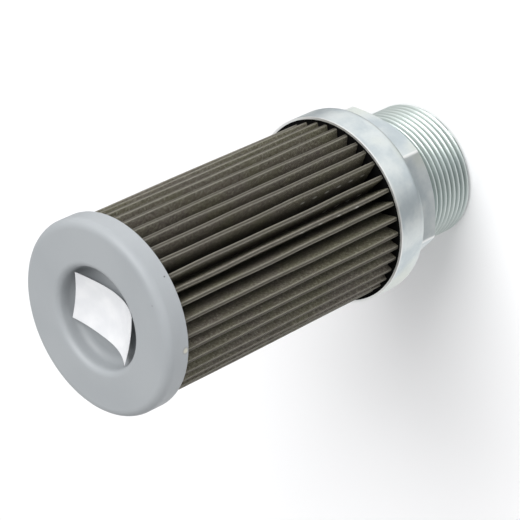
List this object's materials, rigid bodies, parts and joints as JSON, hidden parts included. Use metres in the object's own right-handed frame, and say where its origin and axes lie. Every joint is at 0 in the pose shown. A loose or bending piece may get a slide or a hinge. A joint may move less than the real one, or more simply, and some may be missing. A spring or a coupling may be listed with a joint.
{
  "type": "hydraulic suction filter element",
  "caption": "Cylindrical filter element: pleated wire mesh between a dished end cap and a ring cap, with a hollow hexagon nipple and outside pipe thread.",
  "frame": {"origin": "on the axis, in the plane of the threaded end's face", "axes": "+Z along the axis from the threaded end up to the closed cap; +X to the right and +Y to the back of the picture's camera azimuth"},
  "size_m": [0.0662, 0.0662, 0.1543],
  "materials": {
    "plated_steel": "bright zinc plate, satin",
    "potting_resin": "cured black resin",
    "core_steel": "plain",
    "wire_mesh": "fine woven wire, dull",
    "painted_steel": "satin grey paint",
    "paper": "smooth white paper"
  },
  "bodies": {
    "root": {"threaded_nipple": "plated_steel", "ring_cap": "plated_steel", "base_resin": "potting_resin", "core_tube": "core_steel", "pleated_mesh": "wire_mesh", "end_resin": "potting_resin", "end_cap": "painted_steel", "label": "paper"}
  },
  "joints": []
}
